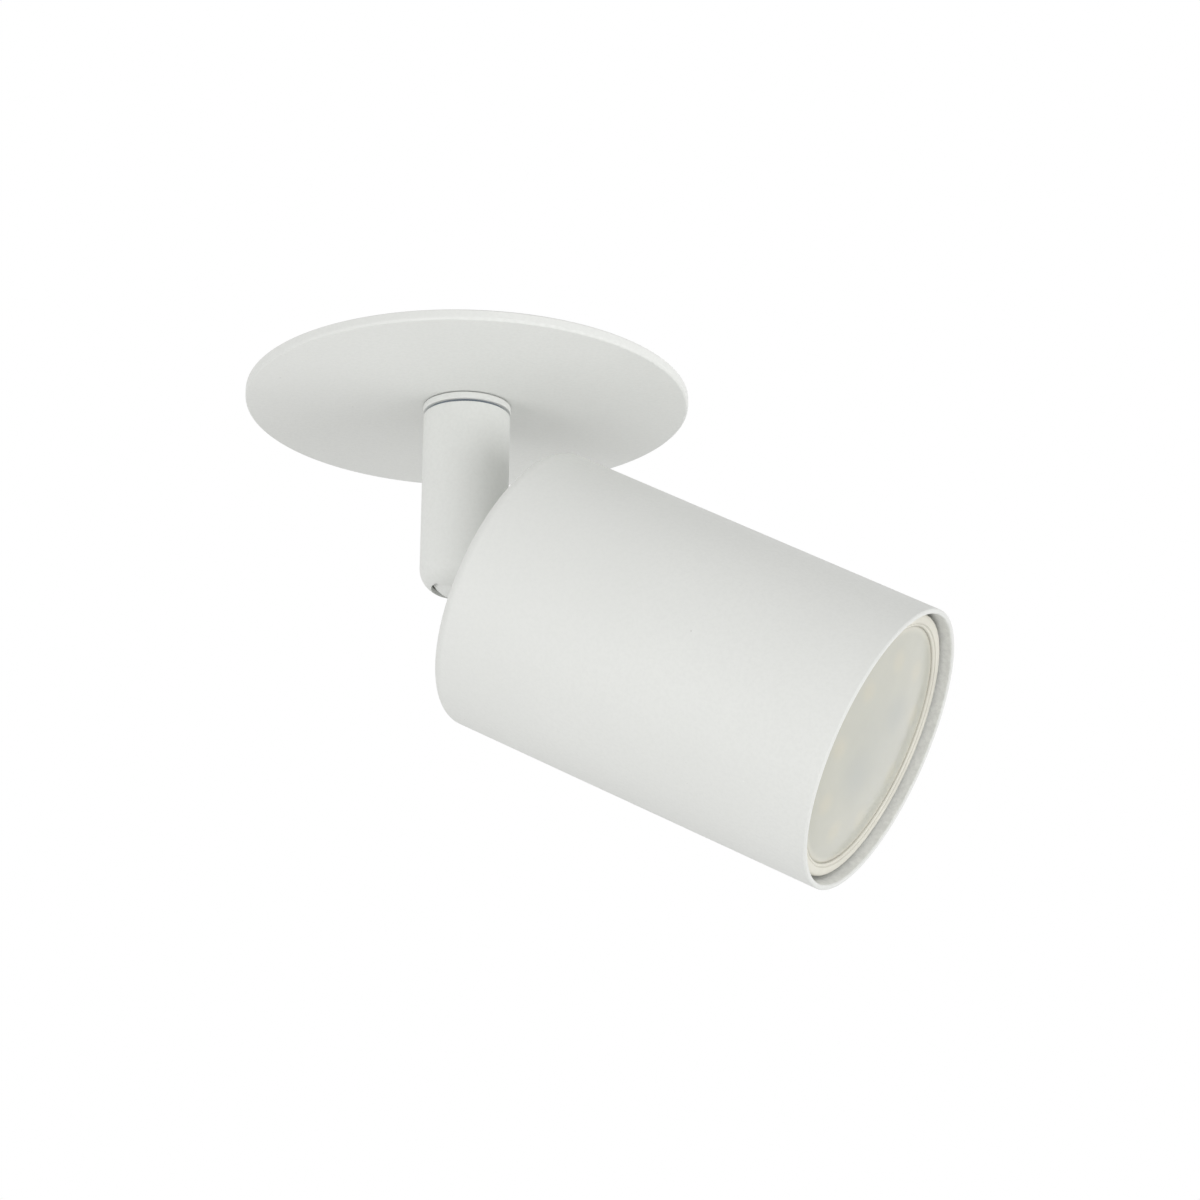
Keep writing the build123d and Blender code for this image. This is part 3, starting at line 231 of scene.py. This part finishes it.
def casing_light_and_shade(look, colour, tone):
    """The tone painted lighter inside the casing, a painted light with a fine grit, and painted darker on
    its rim, a painted shade.
    """
    radius = look.length(look.along(tilt_axis), look.along(head_rise))
    along = look.along(head_axis)
    within = look.ramp(radius, INSIDE_RADIUS * MM, OUTSIDE_RADIUS * MM, at_low=1.0, at_high=0.0)
    beyond = look.ramp(along, OUTSIDE_END * MM, INSIDE_START * MM)
    inside = look.math("MULTIPLY", within, beyond)
    # Painted shade: the front face of the rim is made darker
    rim = look.ramp(along, RIM_SHADE_START * MM, RIM_SHADE_FULL * MM, at_high=0.8)
    # Painted light: the inner wall is made lighter, by a fine grit from the plain tone to a lighter one
    grit = look.ramp(look.noise(scale=900.0, detail=3.0, roughness=0.7), 0.35, 0.65)
    painted_light_inside = look.mix(grit, shade(colour, 1.0), shade(colour, 1.16))
    tone_with_painted_light = look.mix(look.math("MULTIPLY", inside, 0.75), tone, painted_light_inside)
    return look.mix(rim, tone_with_painted_light, shade(colour, 0.86))


def plated_steel(name, colour, roughness=0.36, lines=(1.0, 1.0, 1.0)):
    """Zinc plate or bare steel: cloudy tone, fine rolling lines and small scuffs."""
    look = Look(name, roughness, metallic=0.9)
    cloud = look.noise(scale=160.0, detail=4.0, roughness=0.6)
    streak = look.noise(scale=900.0, detail=3.0, roughness=0.6, stretch=lines)
    tone = look.mix(look.ramp(cloud, 0.3, 0.7), shade(colour, 0.82), shade(colour, 1.1))
    scuffs = look.specks(cells=420.0, size=0.12, share=0.2)
    look.set("Base Color", look.mix(scuffs, tone, shade(colour, 0.6)))
    cloudy = look.ramp(cloud, 0.25, 0.75, at_low=-0.06, at_high=0.08)
    streaky = look.ramp(streak, 0.2, 0.8, at_high=0.1)
    uneven = look.math("ADD", cloudy, streaky)
    look.set("Roughness", look.math("ADD", uneven, roughness))
    look.set("Normal", look.bump(streak, distance=0.02 * MM, strength=0.4))
    return look.material


def moulded(name, colour, roughness=0.45, grain=500.0, depth=0.02, sheen=0.0):
    """Moulded plastic, rubber or ceramic: soft clouding and a fine grain, its depth in millimetres."""
    look = Look(name, roughness)
    cloud = look.noise(scale=90.0, detail=3.0)
    fine = look.noise(scale=grain, detail=3.0, roughness=0.6)
    tone = look.mix(look.ramp(cloud, 0.3, 0.7), shade(colour, 0.94), shade(colour, 1.03))
    marks = look.specks(cells=350.0, size=0.07, share=0.2)
    look.set("Base Color", look.mix(marks, tone, shade(colour, 0.75)))
    look.set("Roughness", look.ramp(fine, 0.3, 0.7, at_low=roughness - 0.06, at_high=roughness + 0.08))
    look.set("Normal", look.bump(fine, distance=depth * MM, strength=0.5))
    look.set("Sheen Weight", sheen)
    return look.material


WHITE = (0.745, 0.755, 0.735)
ZINC = (0.58, 0.59, 0.61)
ZINC_SHEET = (0.609, 0.6195, 0.6405)
STEEL = (0.42, 0.43, 0.45)
BRASS = (0.72, 0.53, 0.24)

coat = powder_coat("white_powder_coat", WHITE)
head_coat_light_and_shade = powder_coat("head_powder_coat_light_and_shade", WHITE, casing_light_and_shade)
zinc = plated_steel("zinc_plate", ZINC)
zinc_sheet = plated_steel("zinc_sheet", ZINC_SHEET, roughness=0.32, lines=(0.08, 1.0, 1.0))
wire_steel = plated_steel("spring_steel", STEEL, roughness=0.28, lines=(1.0, 0.1, 1.0))
brass = plated_steel("brass_turned", BRASS, roughness=0.26, lines=(1.0, 0.15, 1.0))
groove_grey = moulded("groove_washer_nylon", (0.17, 0.20, 0.24), roughness=0.5)
natural = moulded("natural_polyamide", (0.80, 0.79, 0.74), roughness=0.42)
ceramic = moulded("steatite_ceramic", (0.83, 0.82, 0.77), roughness=0.55, grain=900.0, depth=0.05)
rubber = moulded("pad_rubber", (0.52, 0.52, 0.51), roughness=0.7, grain=700.0, depth=0.05, sheen=0.1)
sleeve = moulded("lead_sleeve", (0.70, 0.69, 0.64), roughness=0.5, grain=800.0)
cream = moulded("lamp_cream_plastic", (0.64, 0.625, 0.555), roughness=0.38, grain=600.0, depth=0.015)
shell = moulded("lamp_shell_coat", (0.76, 0.75, 0.72), roughness=0.5)
board_white = moulded("board_solder_white", (0.80, 0.80, 0.76), roughness=0.4)
board_green = moulded("board_solder_green", (0.05, 0.20, 0.09), roughness=0.32)
phosphor = moulded("chip_phosphor", (0.86, 0.68, 0.20), roughness=0.5)
black = moulded("driver_black", (0.03, 0.03, 0.035), roughness=0.4)


def dress(material, *names):
    """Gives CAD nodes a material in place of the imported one."""
    for name in names:
        mesh = nodes[name].data
        mesh.materials.clear()
        mesh.materials.append(material)


dress(coat, "ceiling_plate", "collar_ring", "stem", "knuckle_ball")
dress(head_coat_light_and_shade, "head_casing")
dress(zinc_sheet, "mounting_bracket", "clip_saddle_left", "clip_saddle_right", "cable_clamp",
      "holder_bracket", "clip_arm_left", "clip_arm_right", "friction_washer", "stop_washer", "stud_washer")
dress(zinc, "weld_studs", "stud_nuts", "swivel_nut", "swivel_spigot", "stop_pin", "pivot_screw",
      "saddle_rivets", "clip_pins", "clamp_screws", "knuckle_lock_washer", "knuckle_nut", "holder_screws",
      "terminal_screws", "terminal_block_screw")
dress(wire_steel, "clip_spring_left", "clip_spring_right")
dress(brass, "earth_tag", "terminal_tubes", "holder_contacts", "lamp_pins")
dress(natural, "terminal_block", "spigot_bushing")
dress(groove_grey, "swivel_washer")
dress(ceramic, "lamp_holder")
dress(rubber, "clip_pad_left", "clip_pad_right")
dress(sleeve, "supply_leads", "stem_leads", "head_leads")
dress(cream, "lamp_bezel", "lamp_base")
dress(shell, "lamp_housing", "lamp_diffuser")
dress(board_white, "led_board")
dress(phosphor, "led_chips")
dress(board_green, "driver_board")
dress(black, "driver_parts")

# Camera, as fitted to the photograph: focal length in pixels, angles in radians, clipping in metres
FOCAL_PIXELS = 4012.23
FRAME_PIXELS = 1200
SENSOR_WIDTH = 36.0
CAMERA_RISE = 0.3869
CAMERA_YAW = 0.0342
CAMERA_PITCH = -0.0473
CAMERA_ROLL = 0.0228
CAMERA_PLACE = Vector((0, -698.6, -286.5)) * MM

ahead = Vector((0, cos(CAMERA_RISE + CAMERA_PITCH), sin(CAMERA_RISE + CAMERA_PITCH)))
level_right = Vector((1, 0, 0))
level_up = level_right.cross(ahead)
look_way = ahead * cos(CAMERA_YAW) + level_right * sin(CAMERA_YAW)
turned_right = level_right * cos(CAMERA_YAW) - ahead * sin(CAMERA_YAW)
frame_right = turned_right * cos(CAMERA_ROLL) + level_up * sin(CAMERA_ROLL)
frame_up = level_up * cos(CAMERA_ROLL) - turned_right * sin(CAMERA_ROLL)

camera_data = bpy.data.cameras.new("photo_camera")
camera_data.sensor_width = SENSOR_WIDTH
camera_data.lens = FOCAL_PIXELS * SENSOR_WIDTH / FRAME_PIXELS
camera_data.clip_start = 0.01
camera_data.clip_end = 30.0
camera = bpy.data.objects.new("photo_camera", camera_data)
scene.collection.objects.link(camera)
camera_turn = Matrix((frame_right, frame_up, -look_way)).transposed().to_4x4()
camera.matrix_world = Matrix.Translation(CAMERA_PLACE) @ camera_turn
scene.camera = camera


# Background and even light
def seen_directly(tree):
    """One for rays from the camera and for rays that a glossy or clear surface sends on, else zero."""
    path = tree.nodes.new("ShaderNodeLightPath")
    total = path.outputs["Is Camera Ray"]
    for ray in ("Is Glossy Ray", "Is Transmission Ray"):
        most = tree.nodes.new("ShaderNodeMath")
        most.operation = "MAXIMUM"
        tree.links.new(total, most.inputs[0])
        tree.links.new(path.outputs[ray], most.inputs[1])
        total = most.outputs[0]
    return total


AMBIENT = 0.655

world = bpy.data.worlds.new("studio")
scene.world = world
world.use_nodes = True
tree = world.node_tree
tree.nodes.clear()
seen = tree.nodes.new("ShaderNodeBackground")
seen.inputs["Color"].default_value = rgba(1.0, 1.0, 1.0)
seen.inputs["Strength"].default_value = 1.0
felt = tree.nodes.new("ShaderNodeBackground")
felt.inputs["Color"].default_value = rgba(1.0, 0.995, 0.985)
felt.inputs["Strength"].default_value = AMBIENT
either = tree.nodes.new("ShaderNodeMixShader")
world_out = tree.nodes.new("ShaderNodeOutputWorld")
tree.links.new(seen_directly(tree), either.inputs[0])
tree.links.new(felt.outputs[0], either.inputs[1])
tree.links.new(seen.outputs[0], either.inputs[2])
tree.links.new(either.outputs[0], world_out.inputs["Surface"])

# Plain pale floor, in metres
FLOOR_HEIGHT = -1.1
FLOOR_HALF = 6.0
floor_signs = ((-1, -1), (1, -1), (1, 1), (-1, 1))
floor_corners = [(x * FLOOR_HALF, y * FLOOR_HALF, FLOOR_HEIGHT) for x, y in floor_signs]
floor_mesh = bpy.data.meshes.new("studio_floor")
floor_mesh.from_pydata(floor_corners, [], [(0, 1, 2, 3)])
floor = bpy.data.objects.new("studio_floor", floor_mesh)
scene.collection.objects.link(floor)
floor_look = Look("studio_floor", roughness=0.8)
floor_tone = floor_look.mix(floor_look.noise(scale=3.0), rgba(0.90, 0.90, 0.90), rgba(0.92, 0.92, 0.92))
floor_look.set("Base Color", floor_tone)
floor_mesh.materials.append(floor_look.material)

# Soft boxes round the object, in metres and watts
LIGHT_AIM = Vector((0.03, 0, -0.045))
LIGHT_DISTANCE = 1.5
LIGHT_SIZE = 0.7


def soft_box(name, azimuth, rise, watts):
    """A square area lamp; azimuth 0 is the camera's side and 90 is to the right."""
    turn, climb = radians(azimuth), radians(rise)
    way = Vector((sin(turn) * cos(climb), -cos(turn) * cos(climb), sin(climb)))
    data = bpy.data.lights.new(name, "AREA")
    data.shape = "SQUARE"
    data.size = LIGHT_SIZE
    data.energy = watts
    lamp = bpy.data.objects.new(name, data)
    scene.collection.objects.link(lamp)
    lamp.location = LIGHT_AIM + way * LIGHT_DISTANCE
    lamp.rotation_euler = (-way).to_track_quat("-Z", "Y").to_euler()
    lamp.visible_camera = False


soft_box("left_box", azimuth=-55, rise=-15, watts=6.4)
soft_box("right_box_low", azimuth=55, rise=-40, watts=6.0)
soft_box("right_box_high", azimuth=55, rise=-15, watts=4.0)
soft_box("high_box", azimuth=15, rise=35, watts=1.5)
soft_box("side_box", azimuth=80, rise=-15, watts=3.5)


# Pieces
def piece(name, vertices, faces, material, body, replaced):
    """A mesh piece in a slot's finish that stands for a CAD node and rides on a body, if one is given."""
    mesh = bpy.data.meshes.new(name)
    mesh.from_pydata([tuple(v) for v in vertices], [], faces)
    mesh.validate()
    tidy = bmesh.new()
    tidy.from_mesh(mesh)
    bmesh.ops.recalc_face_normals(tidy, faces=tidy.faces)
    tidy.to_mesh(mesh)
    tidy.free()
    mesh.materials.append(material)
    mesh.shade_smooth()
    made = bpy.data.objects.new(name, mesh)
    scene.collection.objects.link(made)
    if body:
        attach(made, body)
    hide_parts(replaced)
    return made


ON_AXIS = 1e-7


def lathe(profile, steps):
    """Vertices and faces of a closed outline of (radius, height) turned about Z."""
    vertices = []
    faces = []
    rings = []
    for radius, height in profile:
        if radius < ON_AXIS:
            rings.append([len(vertices)] * steps)
            vertices.append((0, 0, height))
            continue
        rings.append([len(vertices) + k for k in range(steps)])
        for k in range(steps):
            angle = 2 * pi * k / steps
            vertices.append((radius * cos(angle), radius * sin(angle), height))
    for a, b in zip(rings, rings[1:] + rings[:1]):
        for k in range(steps):
            n = (k + 1) % steps
            corners = [a[k], a[n], b[n], b[k]]
            # A ring on the axis is one point, so its corners count once
            face = [c for i, c in enumerate(corners) if c not in corners[:i]]
            if len(face) > 2:
                faces.append(face)
    return vertices, faces


def arc(centre, radius, start, end, steps):
    """Points of an arc in a profile, by its angles in degrees."""
    points = []
    for k in range(steps + 1):
        angle = radians(start + (end - start) * k / steps)
        points.append((centre[0] + radius * cos(angle), centre[1] + radius * sin(angle)))
    return points


TURN_STEPS = 192


def turned_in_head(points):
    """A lathe piece about the head's axis, from its outline in millimetres."""
    vertices, faces = lathe([(r * MM, h * MM) for r, h in points], TURN_STEPS)
    return [head_frame @ Vector(v) for v in vertices], faces


# Bezel of the lamp, with its fine groove
BEZEL_RADIUS = 25.2
BEZEL_OPENING = 22.8
BEZEL_DEPTH = 3.6
BEZEL_LIP = 1.2
BEZEL_ROUND = 0.6
SKIRT_BORE_RADIUS = 24.35
GROOVE_RADIUS = 23.35
GROOVE_WIDTH = 0.1
GROOVE_FLOOR = 0.4
OUTER_CREST_DROP = 0.05
OUTER_CREST_ROUND = 0.1
INNER_CREST_DROP = 0.22
INNER_CREST_ROUND = 0.08
LIP_SLOPE_WIDTH = 0.15
LIP_SLOPE_START = 0.26
LIP_SLOPE_END = 0.45

bezel_back = LAMP_FACE - BEZEL_DEPTH
bezel_seat = LAMP_FACE - BEZEL_LIP
outer_crest = LAMP_FACE - OUTER_CREST_DROP
inner_crest = LAMP_FACE - INNER_CREST_DROP
rim_centre = (BEZEL_RADIUS - BEZEL_ROUND, outer_crest - BEZEL_ROUND)
outer_centre = (GROOVE_RADIUS + 2 * OUTER_CREST_ROUND, outer_crest - OUTER_CREST_ROUND)
inner_centre = (GROOVE_RADIUS - GROOVE_WIDTH - INNER_CREST_ROUND, inner_crest - INNER_CREST_ROUND)
bezel_profile = (
    arc(rim_centre, BEZEL_ROUND, start=0, end=90, steps=8)
    + arc(outer_centre, OUTER_CREST_ROUND, start=90, end=180, steps=3)
    + [(GROOVE_RADIUS, LAMP_FACE - GROOVE_FLOOR)]
    + arc(inner_centre, INNER_CREST_ROUND, start=0, end=90, steps=3)
    + [(BEZEL_OPENING + LIP_SLOPE_WIDTH, LAMP_FACE - LIP_SLOPE_START)]
    + [(BEZEL_OPENING, LAMP_FACE - LIP_SLOPE_END), (BEZEL_OPENING, bezel_seat)]
    + [(SKIRT_BORE_RADIUS, bezel_seat), (SKIRT_BORE_RADIUS, bezel_back), (BEZEL_RADIUS, bezel_back)]
)
vertices, faces = turned_in_head(bezel_profile)
piece("lamp_front_ring", vertices, faces, cream, "lamp", "lamp_bezel")

# Domed diffuser behind the bezel, with its ring of chips
CHIP_COUNT = 9
CHIP_RING = 16.5
COVER_EDGE_RADIUS = 24.36
COVER_BACK = 2.4
COVER_RECESS = 0.6
DOME_GAP = 0.02
DOME_RADIUS = BEZEL_OPENING - DOME_GAP
DOME_HEIGHT = 1.3
DOME_STEPS = 48
EDGE_LIGHT_START = 21.2
EDGE_LIGHT_FULL = 22.6


def diffuser_material():
    """Frosted cover: faintly warm over each chip of the ring behind it, greyer towards the middle, and
    paler near its outer circle, a painted light.
    """
    look = Look("frosted_diffuser", roughness=0.16)
    x, y = look.along(tilt_axis), look.along(head_rise)
    base = (0.462, 0.461, 0.404)
    warm = rgba(0.53, 0.50, 0.395)
    grey = rgba(0.385, 0.400, 0.375)
    pale = rgba(0.60, 0.58, 0.50)
    cloud = look.noise(scale=110.0, detail=3.0)
    tone = look.mix(look.ramp(cloud, 0.3, 0.7), shade(base, 0.98), shade(base, 1.015))
    for k in range(CHIP_COUNT):
        angle = 2 * pi * k / CHIP_COUNT
        chip = (CHIP_RING * cos(angle), CHIP_RING * sin(angle))
        glow = look.patch(x, y, chip, x_factor=0.7, core=0.6, reach=3.0, strength=0.45)
        tone = look.mix(glow, tone, warm)
    # Greyer patches towards the middle of the cover
    grey_patches = (((2.5, 7.5), 5.5, 0.6), ((-1.5, -6.5), 7.0, 0.6), ((0.0, 1.0), 13.0, 0.35))
    for middle, reach, strength in grey_patches:
        grey_patch = look.patch(x, y, middle, x_factor=0.6, core=0.0, reach=reach, strength=strength)
        tone = look.mix(grey_patch, tone, grey)
    # Painted light: the cover is made paler near its outer circle, a ring standing in for the band of
    # light there
    painted_edge_light = look.ramp(look.length(x, y), EDGE_LIGHT_START * MM, EDGE_LIGHT_FULL * MM, at_high=0.6)
    look.set("Base Color", look.mix(painted_edge_light, tone, pale))
    look.set("Normal", look.bump(look.noise(scale=1400.0), distance=0.01 * MM, strength=0.3))
    look.set("Subsurface Weight", 0.25)
    look.set("Subsurface Radius", (2.0 * MM, 2.0 * MM, 1.6 * MM))
    look.set("Subsurface Scale", 1.0)
    return look.material


cover_face = LAMP_FACE - COVER_RECESS
dome_sphere = (DOME_RADIUS**2 + DOME_HEIGHT**2) / (2 * DOME_HEIGHT)
dome = []
for k in range(DOME_STEPS + 1):
    radius = DOME_RADIUS * k / DOME_STEPS
    dome.append((radius, cover_face + DOME_HEIGHT - dome_sphere + sqrt(dome_sphere**2 - radius**2)))
cover_profile = (
    dome
    + [(DOME_RADIUS, bezel_seat), (COVER_EDGE_RADIUS, bezel_seat)]
    + [(COVER_EDGE_RADIUS, LAMP_FACE - COVER_BACK), (0, LAMP_FACE - COVER_BACK)]
)
vertices, faces = turned_in_head(cover_profile)
piece("lamp_cover", vertices, faces, diffuser_material(), "lamp", "lamp_diffuser")

# Clip springs, wound from the saddle's tail to the hook on the arm
PIN_X = 22.5
PIN_HEIGHT = 7.0
ARM_SLOPE = radians(18.09)
ARM_HALF_SHEET = 0.5
SADDLE_TOP = 2.2
WIRE_RADIUS = 0.5
WIRE_SIDES = 16
COIL_RADIUS = 2.7
COIL_PITCH = 1.55
COIL_TURNS = 4
STEPS_PER_TURN = 28
HOOK_REACH = 9.5
HOOK_BEND = 1.1
HOOK_STEPS = 8
HOOK_LEAD = 0.5
TAIL_LEAD = 2.0


def spring_route():
    """The wire's middle line for the right clip, in millimetres from the pin, hook end first."""
    first_angle = pi / 2 - ARM_SLOPE
    wound_angle = pi - first_angle + 2 * pi * COIL_TURNS
    half_coil = COIL_PITCH * wound_angle / (4 * pi)
    way = Vector((cos(ARM_SLOPE), 0, -sin(ARM_SLOPE)))
    normal = Vector((sin(ARM_SLOPE), 0, cos(ARM_SLOPE)))
    start = Vector((cos(first_angle), 0, sin(first_angle))) * COIL_RADIUS - Vector((0, half_coil, 0))
    corner = start + way * HOOK_REACH
    centre = corner - way * HOOK_BEND - normal * HOOK_BEND
    route = [corner - normal * (COIL_RADIUS - ARM_HALF_SHEET)]
    route.append(corner - normal * (HOOK_BEND + HOOK_LEAD))
    for k in range(HOOK_STEPS + 1):
        angle = pi / 2 * k / HOOK_STEPS
        route.append(centre + way * HOOK_BEND * cos(angle) + normal * HOOK_BEND * sin(angle))
    route.append(start + way * HOOK_REACH / 2)
    steps = STEPS_PER_TURN * COIL_TURNS
    for k in range(steps + 1):
        turn = wound_angle * k / steps
        angle = first_angle + turn
        along = COIL_PITCH * turn / (2 * pi) - half_coil
        route.append(Vector((COIL_RADIUS * cos(angle), along, COIL_RADIUS * sin(angle))))
    last = route[-1]
    route.append(Vector((last.x, last.y, last.z - TAIL_LEAD)))
    route.append(Vector((last.x, last.y, SADDLE_TOP - PIN_HEIGHT)))
    return route


def tube(route, radius, sides):
    """A round tube with flat ends along a route, turned as little as possible from point to point."""
    ways = []
    for k in range(len(route)):
        ways.append((route[min(k + 1, len(route) - 1)] - route[max(k - 1, 0)]).normalized())
    across = ways[0].orthogonal().normalized()
    vertices = []
    faces = []
    for k, (point, way) in enumerate(zip(route, ways)):
        across = (across - way * across.dot(way)).normalized()
        beside = way.cross(across)
        for s in range(sides):
            angle = 2 * pi * s / sides
            vertices.append(point + (across * cos(angle) + beside * sin(angle)) * radius)
        if k:
            base = (k - 1) * sides
            for s in range(sides):
                n = (s + 1) % sides
                faces.append([base + s, base + n, base + sides + n, base + sides + s])
    faces.append(list(range(sides))[::-1])
    faces.append([(len(route) - 1) * sides + s for s in range(sides)])
    return vertices, faces


for side, hand in ((1, "right"), (-1, "left")):
    route = [Vector((side * (PIN_X + p.x), side * p.y, PIN_HEIGHT + p.z)) * MM for p in spring_route()]
    vertices, faces = tube(route, WIRE_RADIUS * MM, WIRE_SIDES)
    spring = piece(f"wound_spring_{hand}", vertices, faces, wire_steel, None,
                   f"clip_spring_{hand}")
    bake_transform(spring)

# Leads inside the stem
LEAD_RADIUS = 0.65
LEAD_SIDES = 14
LEAD_STEPS = 60
LEAD_HALF_SPACING = 0.78
SLOT_ROOF = -26.3
LEAD_EXIT = 7.1

vertices = []
faces = []
for side in (-1, 1):
    beside = outward * side * LEAD_HALF_SPACING * MM
    heights = [SLOT_ROOF + (LEAD_EXIT - SLOT_ROOF) * k / LEAD_STEPS for k in range(LEAD_STEPS + 1)]
    route = [beside + Vector((0, 0, height)) * MM for height in heights]
    more, loops = tube(route, LEAD_RADIUS * MM, LEAD_SIDES)
    faces += [[index + len(vertices) for index in loop] for loop in loops]
    vertices += more
leads = piece("stem_wires", vertices, faces, sleeve, None, "stem_leads")
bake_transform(leads)
